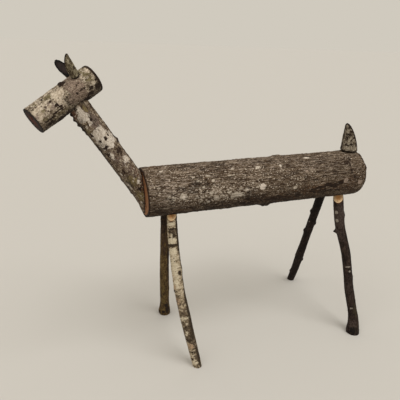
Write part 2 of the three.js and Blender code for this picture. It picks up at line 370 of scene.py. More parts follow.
LARGEST_DOT = 0.56
DOT_RAGGEDNESS = 0.5
DOT_EDGE = 0.07


def dotted(add, level, across, along, seed):
    """Scattered dots of all sizes, more and larger where the level is higher. A dot's largest
    radius, its raggedness and its soft edge are shares of the room that it has."""
    cells = add("TexVoronoi", {"Vector": laid_along(add, across, along, seed), "Scale": 1.0})
    size = add("SeparateColor", {"Color": cells.outputs["Color"]}).outputs[0]
    reach = times(add, times(add, size, level), LARGEST_DOT)
    inside = worked(add, 'SUBTRACT', reach, cells.outputs["Distance"])
    ragged = worked(add, 'SUBTRACT', grained(add, across * 0.5, along * 0.5, seed=seed), 0.5)
    edge = worked(add, 'ADD', inside, times(add, ragged, DOT_RAGGEDNESS))
    return between(add, edge, 0.0, DOT_EDGE)


def between(add, value, low, high):
    """0 below the low value, 1 above the high one, eased between them."""
    settings = {"Value": value, "From Min": low, "From Max": high}
    return add("MapRange", settings, interpolation_type='SMOOTHSTEP').outputs["Result"]


def over(add, share, under, upper):
    """One colour laid over another."""
    return add("Mix", {0: share, 6: under, 7: upper}, data_type='RGBA').outputs[2]


def layer_of(add, layer):
    """The strength of a painted layer."""
    return add("Attribute", attribute_name=layer).outputs["Fac"]


def shades(add, value, tones):
    """A colour that runs through the tones, each at its own value: (value, tone)."""
    node = add("ValToRGB", {"Fac": value})
    ramp = node.color_ramp
    for number, (place, shade) in enumerate(tones):
        if number > 1:
            ramp.elements.new(place)
        ramp.elements[number].position = place
        ramp.elements[number].color = shade
    return node.outputs["Color"]


# Where the four tones of a bark lie between furrow and ridge, and how much its streaks and flecks
# count. Each layer's patches and mottling start from their own seeds, a step apart.
TONE_PLACES = (0.28, 0.43, 0.57, 0.74)
STREAK_SHARE = 1.3
FLECK_SHARE = 0.9
PATCH_SEED = 12.7
PATCH_SEED_STEP = 5.3
MOTTLE_SEED = 31.9
MOTTLE_SEED_STEP = 2.9
# A patch begins, and its mottling turns, between two values. Bark between these two mm below the
# average opens into a crack. The rest say how much each counts.
PATCH_EDGE = (0.46, 0.56)
MOTTLE_EDGE = (0.4, 0.6)
OPEN_CRACK = (-0.15, -0.75)
PATCH_HEIGHT = 0.25
SHADE_DEPTH = 0.75
CRACK_DEPTH = 0.6


def bark_finish(name, tones, streak, fleck, layers, broad=0.7, deep=tone(26, 18, 12)):
    """Bark: four tones, from furrow to ridge, in streaks and flecks, then layers of patches over them.
    Streaks and flecks are (mm across, mm along). A layer is (painted layer, tone, tone, mm across,
    mm along, how far its noise moves its edge); one with no such reach is scattered as dots. Broad is
    how much the slow changes count, and deep is the tone of shaded bark and open cracks."""
    finish, add, connect = start_finish(name, 0.9)
    middle = 0.5 - (STREAK_SHARE + FLECK_SHARE + broad) / 2
    level = worked(add, 'MULTIPLY_ADD', grained(add, *streak, detail=6, rough=0.68), STREAK_SHARE, middle)
    small = grained(add, *fleck, detail=4, rough=0.6, seed=8.4)
    level = worked(add, 'ADD', level, times(add, small, FLECK_SHARE))
    wide = grained(add, streak[0] * 5, streak[1] * 2.2, detail=3, seed=3.1)
    level = worked(add, 'ADD', level, times(add, wide, broad))
    colour = shades(add, level, zip(TONE_PLACES, tones))
    height = level
    for number, (layer, under, upper, across, along, reach) in enumerate(layers):
        patch_seed = PATCH_SEED + PATCH_SEED_STEP * number
        if reach:
            wander = grained(add, across, along, detail=6, rough=0.68, seed=patch_seed)
            wander = times(add, worked(add, 'SUBTRACT', wander, 0.5), reach)
            share = between(add, worked(add, 'ADD', layer_of(add, layer), wander), *PATCH_EDGE)
        else:
            share = dotted(add, layer_of(add, layer), across, along, patch_seed)
        mottle_seed = MOTTLE_SEED + MOTTLE_SEED_STEP * number
        mottle = grained(add, across * 0.5, along * 0.5, detail=5, rough=0.65, seed=mottle_seed)
        mottled = over(add, between(add, mottle, *MOTTLE_EDGE), under, upper)
        colour = over(add, share, colour, mottled)
        height = worked(add, 'ADD', height, times(add, share, PATCH_HEIGHT))
    # Painted shade: the bark is darkened towards the deep tone wherever the shade layer is painted.
    colour = over(add, times(add, layer_of(add, "shade"), SHADE_DEPTH), colour, deep)
    crack = between(add, layer_of(add, "relief"), *OPEN_CRACK)
    colour = over(add, times(add, crack, CRACK_DEPTH), colour, deep)
    connect("Base Color", colour)
    connect("Normal", add("Bump", {"Height": height, "Strength": 0.8, "Distance": 0.0012}).outputs[0])
    return finish


# Rings wobble by this many mm, and the bark's inner edge, soft over its own mm, by a share of that.
# Rings and smears begin and are full at their two values, and count by their shares.
RING_WOBBLE = 5.0
BARK_WOBBLE = 0.25
BARK_EDGE = 0.9
RING_EDGE = (-0.6, 1.0)
RING_SHARE = 0.4
RING_HEIGHT = 0.3
SMEAR_EDGE = (0.45, 0.72)
SMEAR_SHARE = 0.5


def sawn_finish(name, heart, sap, rim, radius, bark_thick=3.0, ring=2.2, saw=True, turnover=(0.15, 0.85)):
    """Sawn wood: growth rings from heart to sap, a rim of bark, and the saw's fine scores. The radius,
    the bark's thickness and the rings' width are in mm. Heart turns to sap over these two shares of
    the radius."""
    finish, add, connect = start_finish(name, 0.82)
    grain = add("Attribute", attribute_name="grain").outputs["Vector"]
    across = add("VectorMath", {0: grain, 1: (1, 1, 0)}, operation='MULTIPLY').outputs[0]
    reach = times(add, add("VectorMath", {0: across}, operation='LENGTH').outputs["Value"], 1000.0)
    wobble = worked(add, 'SUBTRACT', grained(add, 16, 40, detail=2), 0.5)
    wobble = times(add, wobble, RING_WOBBLE)
    wave = times(add, worked(add, 'ADD', reach, wobble), 6.283 / ring)
    wave = between(add, worked(add, 'SINE', wave), *RING_EDGE)
    smear = grained(add, 9, 9, detail=5, seed=4.2)
    colour = over(add, between(add, worked(add, 'DIVIDE', reach, radius), *turnover), heart, sap)
    colour = over(add, times(add, wave, RING_SHARE), colour, heart)
    colour = over(add, times(add, between(add, smear, *SMEAR_EDGE), SMEAR_SHARE), colour, rim)
    bark_from = worked(add, 'SUBTRACT', reach, times(add, wobble, BARK_WOBBLE))
    wood_end = radius - bark_thick
    colour = over(add, between(add, bark_from, wood_end, wood_end + BARK_EDGE), colour, rim)
    scores = grained(add, 0.7, 30, detail=2, seed=9.9) if saw else smear
    height = worked(add, 'ADD', times(add, wave, RING_HEIGHT), scores)
    connect("Base Color", colour)
    connect("Normal", add("Bump", {"Height": height, "Strength": 0.5, "Distance": 0.0004}).outputs[0])
    return finish


# The relief of bark: broad lumps, long plates and fine furrows
LUMPS = ('CLOUDS', {"noise_scale": 1.0, "noise_depth": 2})
PLATES = ('VORONOI', {"noise_scale": 1.0, "weight_1": -1.0, "weight_2": 1.0, "noise_intensity": 1.3})
FURROWS = ('MUSGRAVE', {"noise_scale": 1.0, "musgrave_type": 'MULTIFRACTAL', "octaves": 3.0,
                        "dimension_max": 0.9, "lacunarity": 2.1})

BODY_FRONT = mm(-185.5, -5.8, 446.9)
BODY_REAR = mm(421.5, -5.8, 448.5)
FRONT_CUT = mm(-187, -5.8, 447)
FRONT_CUT_LEAN = 4
FRONT_FACING = Vector((-cos(radians(FRONT_CUT_LEAN)), 0, -sin(radians(FRONT_CUT_LEAN))))
END_CHECKS = [
    (12, 0.1, 0.9, 7, 3.5), (133, 0.3, 0.97, 5, 3), (-96, 0.25, 0.9, 6, 3), (-40, 0.5, 0.97, 4, 2),
]
REAR_CHECKS_TURNED = 70
body = RoundWood("body_log", BODY_FRONT, BODY_REAR)
body.draw([(0, 58.6), (1, 62.6)], sides=32, rings=42, spare=0.012)
body.swell([
    (0.6, -18, 3.2, 9), (0.605, -10, 1.6, 3), (0.59, -26, 1.6, 3), (0.524, 155, 5, 10),
    (0.53, 150, 2.4, 4), (0.515, 160, 2, 4), (0.97, -12, 2, 14), (0.945, 68, -1.6, 12),
    (0.915, 40, 1.4, 7), (0.925, 84, 1.4, 7), (0.998, 61, 4, 5), (0.99, 24, 1.8, 5), (0.99, 92, 1.4, 8),
    (0.28, -90, 3, 9), (0.72, -120, 4, 8),
])
body.roughen([(LUMPS, 30, 70, 2.2), (PLATES, 4.2, 24, 1.0), (FURROWS, 2.2, 15, 0.8)])
body.saw(FRONT_CUT, FRONT_FACING, checks=END_CHECKS)
rear_checks = [(turn + REAR_CHECKS_TURNED, *rest) for turn, *rest in END_CHECKS]
body.saw(BODY_REAR, Vector((1, 0, 0)), checks=rear_checks)
body.paint("lichen", [
    (80, 88, 17, 14, 1.1), (57, 91, 12, 9, 1), (46, 86, 10, 8, 0.9), (144, 107, 10, 9, 1.1),
    (163, 99, 13, 12, 1.1), (149, 85, 11, 8, 1), (130, 71, 8, 7, 1), (217, 96, 26, 15, 1.2),
    (206, 101, 12, 10, 1), (242, 87, 9, 9, 1.2), (196, 88, 10, 6, 1), (156, 58, 8, 6, 1),
    (118, 55, 8, 6, 1), (108, 46, 9, 5, 0.9), (145, 45, 14, 5, 0.9), (213, 33, 8, 5, 1),
    (199, 49, 9, 5, 0.9), (36, 21, 9, 6, 0.9), (23, 63, 8, 4, 0.9), (272, 82, 8, 6, 1),
    (259, 73, 8, 6, 0.9), (282, 35, 13, 8, 1), (346, 36, 6, 6, 1.2), (434, 17, 16, 7, 1.4),
    (380, 94, 13, 9, 0.9), (190, -60, 24, 14, 1), (420, -70, 30, 16, 1), (90, -110, 26, 16, 1),
    (520, -120, 18, 12, 1), (300, -95, 14, 12, 1.1),
])
body.paint("specks", [
    (165, 88, 230, 46, 1.5), (90, 70, 200, 90, 0.9), (250, 60, 300, 80, 0.75), (60, 20, 140, 50, 0.7),
    (380, 84, 160, 50, 0.9), (570, 90, 60, 40, 0.85), (560, 30, 50, 40, 0.8), (200, -80, 300, 80, 0.9),
    (450, -100, 200, 70, 0.8),
], ground=0.42)
body.paint("furrows", [
    (440, 40, 330, 76, 0.46), (230, 14, 340, 60, 0.42), (60, 60, 160, 100, 0.3),
    (540, 80, 110, 90, 0.36), (330, -70, 560, 120, 0.4),
], ground=0.16)
body.paint("ridges", [
    (440, 38, 330, 76, 0.4), (230, 14, 340, 60, 0.38), (60, 72, 160, 90, 0.4),
    (330, -70, 560, 120, 0.36),
], ground=0.1)
body.paint("dashes", [
    (60, 72, 150, 70, 1.2), (250, 30, 330, 60, 0.9), (430, 40, 220, 60, 0.75), (150, 75, 260, 90, 0.9),
    (350, -80, 500, 90, 0.8),
], ground=0.45)
body.paint("dull", [
    (540, 89, 13, 13, 1.6), (590, 97, 12, 12, 1.5), (417, 57, 15, 9, 0.8), (576, 64, 20, 16, 0.5),
], ground=-0.3)
body.paint("spots", [
    (286, 83, 13, 13, 1.5), (243, 87, 6, 6, 1.1), (80, 88, 8, 8, 0.9), (434, 17, 9, 4, 1.2),
    (346, 36, 5, 5, 1.1), (144, 107, 6, 6, 1), (222, 96, 9, 7, 1), (163, 99, 7, 6, 1),
    (300, -95, 9, 9, 1.2),
])
# Stain and painted shade: real dark marks, the knot underneath and dark rims at the cuts, with painted
# shade in long bands along the underside and the lower sides.
body.paint("stain_and_shade", [
    (465, 100, 26, 6, 1.3), (483, 95, 22, 7, 1.3), (503, 99, 26, 9, 1.5), (524, 92, 18, 8, 1.4),
    (440, 104, 26, 5, 1), (562, 35, 7, 12, 1), (557, 50, 5, 12, 1), (559, 68, 5, 12, 1),
    (567, 82, 7, 9, 1), (550, 44, 20, 16, 0.7), (606, 61, 5, 9, 1.3), (321, 155, 30, 24, 1.1),
    (374, -18, 14, 14, 1), (64, 150, 60, 24, 0.8), (560, 150, 60, 24, 0.8), (300, 180, 900, 120, 0.6),
    (250, 128, 330, 30, 0.6), (140, 62, 50, 16, 0.5), (320, 120, 200, 20, 0.7),
    (480, 112, 160, 14, 0.6),
], ground=0.06, edge=2.2)
body.paint("warm", [
    (450, 104, 130, 36, 0.6), (330, 122, 260, 36, 0.55), (60, 128, 140, 26, 0.6), (20, -2, 60, 14, 0.6),
    (550, 100, 110, 50, 0.5),
], ground=0.08)
body.paint("shade", [
    (300, 180, 1500, 150, 1), (300, 134, 1500, 30, 0.8), (480, 112, 200, 24, 0.35),
    (30, 110, 60, 60, 0.25), (535, 76, 150, 84, 0.42), (330, 110, 500, 16, 0.2),
])
body_bark = bark_finish(
    "body_bark", [tone(29, 15, 6), tone(69, 52, 36), tone(105, 88, 70), tone(184, 168, 149)],
    streak=(1.9, 22), fleck=(1.2, 5), layers=[
        ("warm", tone(64, 41, 24), tone(120, 92, 66), 4, 14, 2.6),
        ("ridges", tone(122, 107, 92), tone(164, 149, 134), 2.2, 30, 3.0),
        ("furrows", tone(38, 24, 13), tone(74, 57, 43), 2.4, 36, 3.0),
        ("dashes", tone(146, 128, 114), tone(206, 190, 174), 2.0, 8, 0),
        ("specks", tone(160, 144, 126), tone(226, 213, 196), 4.0, 5.2, 0),
        ("lichen", tone(170, 156, 138), tone(224, 212, 196), 4, 6, 1.8),
        ("stain_and_shade", tone(28, 16, 8), tone(56, 38, 25), 4, 12, 2.6),
        ("dull", tone(146, 127, 112), tone(184, 166, 150), 4, 5, 1.2),
        ("spots", tone(220, 205, 190), tone(245, 234, 221), 3, 3, 1.2),
    ], broad=0.35, deep=tone(24, 13, 5))
body_wood = sawn_finish(
    "sawn body end", tone(88, 42, 13), tone(146, 101, 66), tone(30, 14, 5),
    radius=59.5, bark_thick=6.5, ring=6.5, turnover=(0.42, 0.56))
body.dress("root", body_bark, body_wood, body_wood)


# Neck: a thick birch branch, about 45 mm across, its lower end mitred onto the body's front end and
# its upper end coped under the head. Dark bark with large whitish lichen patches and olive moss.
NECK_FOOT = mm(-185.5, -5.8, 448.7)
NECK_TOP = mm(-315.4, -4.8, 646)
# The spare foot and the coped top are in mm, and the gap at the body is in metres
NECK_SPARE = 40
NECK_SUNK = 11
NECK_GAP = 0.0003
neck_run = (NECK_TOP - NECK_FOOT).normalized()
neck = RoundWood(
    "neck_log", NECK_FOOT - neck_run * NECK_SPARE / 1000, NECK_TOP + neck_run * NECK_SUNK / 1000)
neck.draw([(0, 23.2), (1, 21.8)], sides=16, rings=24, spare=0.012)
neck.swell([
    (0.62, -2, 2.6, 6), (0.63, -14, 2, 3), (0.88, -175, 3, 13), (0.955, -173, 3.2, 2.4),
    (0.912, -176, 3.2, 2.6), (0.865, -176, 3, 2.4), (0.82, -172, 3, 2.4), (0.785, -174, 2, 3),
    (0.935, -150, 2, 2.4), (0.2, -170, 1.6, 3), (0.33, -174, 1.4, 3), (0.45, 120, 2, 5),
    (0.7, 90, 1.6, 6), (-0.02, 180, 6, 17),
])
neck.roughen([(LUMPS, 16, 34, 2.0), (PLATES, 6, 12, 0.9), (FURROWS, 2.2, 6, 0.5)])
neck.saw(FRONT_CUT + FRONT_FACING * NECK_GAP, -FRONT_FACING)
neck.paint("lichen", [
    (276, -103, 12, 10, 1.1), (261, -113, 22, 20, 1.3), (247, -97, 14, 8, 1), (240, -127, 10, 6, 0.9),
    (207, -91, 34, 24, 1.35), (193, -43, 22, 16, 1.2), (192, -112, 22, 16, 1.2),
    (185, -80, 18, 22, 1.2), (218, -64, 18, 8, 1.1), (214, -121, 14, 12, 1.1), (161, -109, 14, 9, 1),
    (135, -52, 16, 14, 1), (113, -133, 10, 7, 0.8), (76, -73, 8, 12, 0.9), (76, -139, 18, 8, 0.8),
    (28, -136, 12, 6, 0.7), (190, 60, 50, 30, 0.8), (120, 130, 40, 24, 0.7), (250, 110, 30, 26, 0.8),
    (60, 60, 30, 20, 0.7),
], ground=0.05)
neck.paint("dull", [
    (240, -70, 40, 16, 1), (228, -72, 24, 14, 1), (150, -100, 40, 20, 0.7), (90, -80, 90, 40, 0.55),
    (135, -60, 30, 30, 0.7),
], ground=0.2)
neck.paint("specks", [
    (100, -90, 120, 70, 1), (150, -90, 40, 50, 0.8), (60, -110, 80, 60, 0.9), (262, -120, 50, 40, 0.8),
], ground=0.5)
neck.paint("pits", [
    (262, -110, 30, 30, 0.5), (80, -90, 140, 70, 0.9), (150, -90, 30, 50, 0.9),
], ground=0.35)
# Stain and painted shade: small dark marks and a dark rim at the cut, with painted shade in two long
# lines along the neck's top and underside.
neck.paint("stain_and_shade", [
    (248, -82, 5, 5, 1.3), (199, -78, 7, 6, 1.5), (202, -57, 5, 4, 1.3), (200, -113, 6, 4, 1.1),
    (235, -162, 20, 8, 1), (220, -132, 14, 8, 0.8), (182, -112, 7, 14, 0.9), (167, -122, 14, 10, 0.9),
    (160, -56, 22, 18, 0.8), (179, -8, 16, 12, 1.3), (117, -109, 8, 8, 0.9), (61, -92, 12, 16, 0.7),
    (150, -10, 280, 8, 0.8), (150, -174, 280, 9, 0.8), (255, -176, 60, 10, 1.1),
    (274, -168, 20, 12, 0.8),
], ground=0.04, edge=1.5)
neck.paint("moss", [
    (272, -73, 14, 10, 0.9), (231, -137, 16, 12, 0.9), (247, -112, 8, 10, 0.6), (87, -101, 30, 24, 0.8),
    (46, -115, 40, 30, 0.7), (60, 120, 60, 40, 0.5),
], ground=0.05)
neck.paint("warm", [
    (274, -150, 20, 16, 1), (152, -95, 12, 8, 0.5), (60, -60, 60, 30, 0.5), (100, -50, 40, 20, 0.5),
])
neck.paint("shade", [(140, 180, 400, 30, 0.8), (290, -60, 14, 120, 0.5)])
neck_bark = bark_finish(
    "neck_bark", [tone(36, 24, 17), tone(82, 66, 51), tone(126, 109, 90), tone(184, 170, 151)],
    streak=(3, 6), fleck=(1.6, 2.4), layers=[
        ("dull", tone(92, 77, 68), tone(124, 109, 98), 5, 8, 2.2),
        ("warm", tone(84, 54, 40), tone(118, 86, 66), 5, 8, 2.2),
        ("moss", tone(96, 82, 54), tone(132, 117, 84), 4, 7, 2.2),
        ("specks", tone(134, 120, 102), tone(186, 174, 156), 5, 7, 0),
        ("lichen", tone(178, 165, 151), tone(222, 212, 199), 6, 8, 2.4),
        ("pits", tone(60, 44, 34), tone(110, 94, 78), 4.5, 5.5, 0),
        ("stain_and_shade", tone(34, 23, 17), tone(64, 48, 37), 4, 7, 2.2),
    ])
neck_wood = sawn_finish(
    "sawn neck end", tone(120, 84, 54), tone(150, 112, 76), tone(52, 38, 28), radius=22.6)
neck.dress("root", neck_bark, neck_wood)


# Head: a short birch log, about 151 mm long and 56 mm across, both ends sawn square. Cream and
# grey-green lichen in front, smooth mauve-grey bark behind, and a dark branch stump on the brow.
MUZZLE = mm(-407.4, -33.1, 626.3)
HEAD_BACK = mm(-284.3, 10.3, 702.6)
head = RoundWood("head_log", MUZZLE, HEAD_BACK)
head.draw([(0, 27.6), (1, 28.6)], sides=20, rings=15, spare=0.008)
head.swell([
    (0.57, 9, 3.4, 5), (0.575, 18, 2, 3), (0.55, 2, 1.6, 3), (0.85, 180, 2, 16), (0.62, 150, 1.2, 6),
    (0.3, 160, 1, 6),
])
head.roughen([(LUMPS, 22, 30, 1.6), (PLATES, 6, 9, 0.6), (FURROWS, 2.4, 4, 0.4)])
head.saw(MUZZLE, -head.axis, checks=[(40, 0.15, 0.9, 12, 2), (-120, 0.3, 0.95, 8, 1.5)])
head.saw(HEAD_BACK, head.axis, checks=[(150, 0.15, 0.9, 12, 2), (-30, 0.3, 0.95, 8, 1.5)])
head.paint("lichen", [
    (70, 40, 16, 13, 1.2), (57, 68, 15, 18, 1.2), (58, 37, 13, 12, 1), (62, 55, 14, 16, 0.9),
    (24, 40, 10, 9, 1.1), (15, 47, 14, 10, 1), (24, 11, 8, 8, 0.9), (13, 70, 12, 12, 0.9),
    (7, 83, 8, 8, 0.9), (5, 51, 6, 14, 0.9), (30, 62, 30, 24, 0.5), (142, 32, 7, 7, 1),
    (123, 42, 6, 5, 1.2), (138, 88, 10, 8, 1), (118, 103, 8, 5, 1), (112, 18, 6, 5, 1.2),
    (40, 0, 50, 24, 0.5), (40, -60, 60, 40, 0.8), (130, -60, 30, 40, 0.6), (60, -120, 40, 40, 0.5),
], ground=0.12)
head.paint("blush", [
    (34, 58, 16, 14, 1), (39, 71, 18, 14, 0.9), (5, 66, 8, 22, 0.8), (25, 85, 24, 12, 0.6),
], ground=0.1)
head.paint("moss", [
    (45, 25, 16, 12, 1), (20, 18, 9, 9, 0.9), (35, 16, 10, 10, 0.8), (21, 62, 9, 8, 0.9),
    (16, 95, 20, 16, 0.6), (136, 37, 16, 14, 0.9), (133, 65, 12, 12, 0.7), (140, 88, 14, 12, 0.6),
    (128, 10, 26, 18, 0.7), (46, 107, 40, 12, 0.7), (100, -40, 60, 30, 0.5),
], ground=0.16)
head.paint("mauve", [
    (101, 58, 36, 180, 1.25), (101, -100, 38, 200, 1.2), (82, 92, 26, 26, 0.9),
], ground=-0.3)
head.paint("specks", [
    (40, 40, 70, 60, 1), (132, 50, 34, 60, 1.1), (100, 60, 30, 60, 0.45), (60, 110, 90, 14, 0.7),
    (40, -90, 90, 80, 0.9),
], ground=0.4)
head.paint("pits", [
    (30, 70, 60, 60, 0.75), (62, 55, 30, 50, 0.5), (135, 50, 30, 60, 0.7), (60, 108, 110, 20, 1),
], ground=0.4)
# Stain and painted shade: dark marks, the brow stump and dark rims at the cuts, with painted shade under
# the head and along its lower side.
head.paint("stain_and_shade", [
    (86, 12, 12, 11, 1.8), (86, -4, 10, 8, 1.4), (44, 48, 7, 5, 1), (49, 73, 8, 8, 1.1),
    (54, 86, 7, 6, 1.1), (35, 16, 8, 5, 0.9), (51, 94, 12, 4, 1.1), (38, 94, 12, 4, 1.1),
    (29, 103, 14, 5, 1), (18, 102, 12, 5, 0.8), (21, 122, 26, 16, 0.8), (144, 81, 6, 5, 1.2),
    (142, 107, 18, 16, 1), (126, 97, 14, 8, 0.9), (120, 118, 24, 12, 0.9), (104, 57, 3, 3, 0.9),
    (97, 47, 3, 3, 0.8), (54, 138, 60, 18, 0.8), (99, 137, 60, 20, 0.9), (148.5, 60, 4, 160, 1.4),
    (75, 180, 200, 60, 0.7), (30, 30, 30, 3, 0.6), (110, 80, 20, 6, 0.7), (96, 84, 8, 5, 0.8),
], ground=-0.1, edge=1.4)
head.paint("shade", [
    (75, 180, 400, 64, 1), (75, 136, 400, 20, 0.95), (120, 116, 60, 18, 0.5), (20, 126, 60, 16, 0.6),
])
head_bark = bark_finish(
    "head_bark", [tone(50, 38, 28), tone(108, 94, 77), tone(154, 139, 120), tone(212, 199, 179)],
    streak=(3.4, 5), fleck=(1.6, 2.2), layers=[
        ("mauve", tone(94, 77, 65), tone(164, 145, 129), 2.6, 9, 0.9),
        ("blush", tone(118, 102, 90), tone(172, 155, 141), 5, 7, 2.4),
        ("moss", tone(94, 83, 58), tone(140, 128, 100), 5, 6, 2.4),
        ("specks", tone(170, 155, 134), tone(218, 206, 186), 5, 6, 0),
        ("lichen", tone(174, 157, 137), tone(214, 200, 180), 7, 9, 2.6),
        ("pits", tone(54, 40, 29), tone(98, 83, 66), 4.4, 5.5, 0),
        ("stain_and_shade", tone(30, 20, 14), tone(60, 45, 34), 3, 5, 2.2),
    ])
head_wood = sawn_finish(
    "sawn head end", tone(78, 35, 20), tone(34, 16, 9), tone(14, 7, 4),
    radius=27.4, bark_thick=7.5, turnover=(0.2, 0.6))
head.dress("root", head_bark, head_wood, head_wood)


# Ears: branch ends about 18 mm across, each with one long slanting cut that faces the other ear,
# let into the top of the head. The left one is longer. Grey-green bark, dark cuts.
EAR_RADIUS = 9.2
EAR_SUNK = 3
EAR_SPARE = 4
EAR_CUT_ANGLE = 26
HEAD_RADIUS_AT_EARS = 28.4
# An ear stands this many mm along the head and this many degrees round it. It splays outwards, leans
# backwards (less than 0 is towards the muzzle) and has its cut twisted towards the muzzle, all in
# degrees. Side is 1 on the deer's left and -1 on its right.
EARS = {
    "ear_left": {
        "station": 117.5, "round": 22, "splay": 11, "lean": -4, "length": 55, "twist": 20, "side": 1,
    },
    "ear_right": {
        "station": 118.4, "round": 30, "splay": 14, "lean": -13, "length": 42, "twist": 16, "side": -1,
    },
}
# A cut branch end is slightly thinner at its tip than at its foot
STUB_TAPER = 0.97


def cut_stub(stub, tip_reach, radius, cut_angle, side):
    """Cuts a branch end off on the slant, its tip this far up on the side away from the cut."""
    square = (side - stub.axis * side.dot(stub.axis)).normalized()
    facing = turned(square, stub.axis, cut_angle)
    tip = stub.start + stub.axis * tip_reach / 1000 - square * radius / 1000
    stub.saw(tip, facing)


ear_bark = bark_finish(
    "ear_bark", [tone(44, 34, 24), tone(84, 72, 55), tone(116, 106, 84), tone(158, 148, 126)],
    streak=(2.2, 5), fleck=(1.4, 2.2), layers=[
        ("stain_and_shade", tone(26, 18, 13), tone(54, 42, 32), 3, 5, 1.8),
        ("lichen", tone(140, 130, 106), tone(170, 160, 138), 3, 5, 2.2),
    ])
ear_wood = sawn_finish(
    "cut ear", tone(52, 42, 40), tone(30, 21, 19), tone(12, 8, 6),
    radius=9.0, bark_thick=2.8, ring=1.6, saw=False)
for name, ear in EARS.items():
    outside = head.second * ear["side"]
    radial = turned(head.first, outside, ear["round"])
    depth = HEAD_RADIUS_AT_EARS - EAR_SUNK
    foot = MUZZLE + head.axis * ear["station"] / 1000 + radial * depth / 1000
    rise = head.first * cos(radians(ear["splay"])) * cos(radians(ear["lean"]))
    rise += outside * sin(radians(ear["splay"])) * cos(radians(ear["lean"]))
    rise += head.axis * sin(radians(ear["lean"]))
    rise.normalize()
    facing_in = turned(-outside, -head.axis, ear["twist"])
    tip = foot + rise * (ear["length"] + EAR_SPARE) / 1000
    branch = RoundWood(name, foot, tip, counted=-facing_in)
    branch.draw([(0, EAR_RADIUS), (1, EAR_RADIUS * STUB_TAPER)], sides=14, rings=9)
    branch.roughen([(LUMPS, 8, 16, 0.9), (PLATES, 3, 8, 0.4), (FURROWS, 1.4, 4, 0.25)])
    cut_stub(branch, ear["length"], EAR_RADIUS * STUB_TAPER, EAR_CUT_ANGLE, facing_in)
    branch.paint("lichen", [
        (26, 40, 9, 6, 0.9), (40, -30, 8, 6, 0.9), (8, -20, 6, 5, 0.9),
    ], ground=0.04)
    # Stain and painted shade: a painted shadow ring round the foot where the ear meets the head, and a
    # painted-shade line down one side, with a few small dark marks and a dark rim at the cut.
    branch.paint("stain_and_shade", [
        (3, 0, 5, 120, 1), (26, 84, 56, 5, 1.1), (26, -88, 56, 2.4, 0.8), (24, 10, 8, 5, 0.8),
        (8, 20, 4, 3, 1),
    ], ground=0.08, edge=1.3)
    branch.paint("shade", [(3, 0, 7, 200, 0.5)])
    branch.dress("root", ear_bark, ear_wood)


# Tail: a branch end, about 45 mm across and 80 mm tall, standing on a small flat at the rear of the
# body's back, its long slanting cut facing backwards. Mottled grey bark.
TAIL_RADIUS = 22.9
TAIL_LENGTH = 80
TAIL_SPARE = 6
TAIL_CUT_ANGLE = 26.6
TAIL_LEAN = 2
TAIL_FOOT = mm(401.5, -5.8, 509.0)
tail_rise = Vector((sin(radians(TAIL_LEAN)), 0, cos(radians(TAIL_LEAN))))
tail_tip = TAIL_FOOT + tail_rise * (TAIL_LENGTH + TAIL_SPARE) / 1000
tail = RoundWood("tail", TAIL_FOOT, tail_tip, counted=DEER_LEFT)
tail.draw([(0, TAIL_RADIUS), (1, TAIL_RADIUS * STUB_TAPER)], sides=16, rings=9)
tail.roughen([(LUMPS, 16, 26, 1.4), (PLATES, 5, 12, 0.7), (FURROWS, 2.2, 6, 0.4)])
cut_stub(tail, TAIL_LENGTH, TAIL_RADIUS * STUB_TAPER, TAIL_CUT_ANGLE, Vector((1, 0, 0)))
tail.paint("lichen", [
    (75, -84, 7, 7, 1.1), (62, -62, 10, 10, 1.2), (32, -45, 18, 10, 1.1), (14, -4, 14, 14, 1),
    (16, -53, 14, 16, 0.8), (38, -20, 10, 8, 0.8), (30, -100, 20, 8, 0.6), (40, 60, 20, 14, 0.8),
    (20, 140, 16, 14, 0.8), (30, -150, 20, 16, 0.8),
], ground=0.3)
# Stain and painted shade: dark blotches and lines and a dark rim at the cut, with a painted shadow ring
# round the foot where the tail stands on the body.
tail.paint("stain_and_shade", [
    (60, -54, 4, 4, 1.4), (51, -57, 5, 12, 1), (42, -67, 9, 5, 1), (54, -105, 60, 5, 0.8),
    (20, -104, 40, 5, 0.8), (3, 0, 6, 200, 1.1), (25, -34, 5, 7, 1), (22, -60, 4, 12, 0.8),
    (45, -18, 6, 9, 1), (50, 2, 60, 4, 1), (36, -36, 8, 3, 0.9), (70, -70, 8, 3, 0.9),
], ground=0.24, edge=2.6)
tail.paint("shade", [(2, 0, 8, 300, 0.5)])
tail_bark = bark_finish(
    "tail_bark", [tone(38, 29, 22), tone(78, 66, 53), tone(116, 104, 88), tone(158, 148, 131)],
    streak=(2.6, 5), fleck=(1.5, 2.2), layers=[
        ("lichen", tone(128, 117, 100), tone(176, 165, 148), 6, 8, 2.6),
        ("stain_and_shade", tone(30, 21, 15), tone(58, 46, 36), 4, 6, 2.6),
    ])
tail_wood = sawn_finish(
    "cut tail", tone(112, 84, 58), tone(142, 110, 78), tone(48, 36, 28), radius=22.9, bark_thick=2.6)
tail.dress("root", tail_bark, tail_wood)


# Legs: four crooked sticks about 24 mm across, splayed sideways from holes under the body and sawn
# off level at the floor: one of white birch, one olive-brown and two near-black. Their tops are
# whittled, which shows as fresh pale facets.
LEG_SPARE = 12
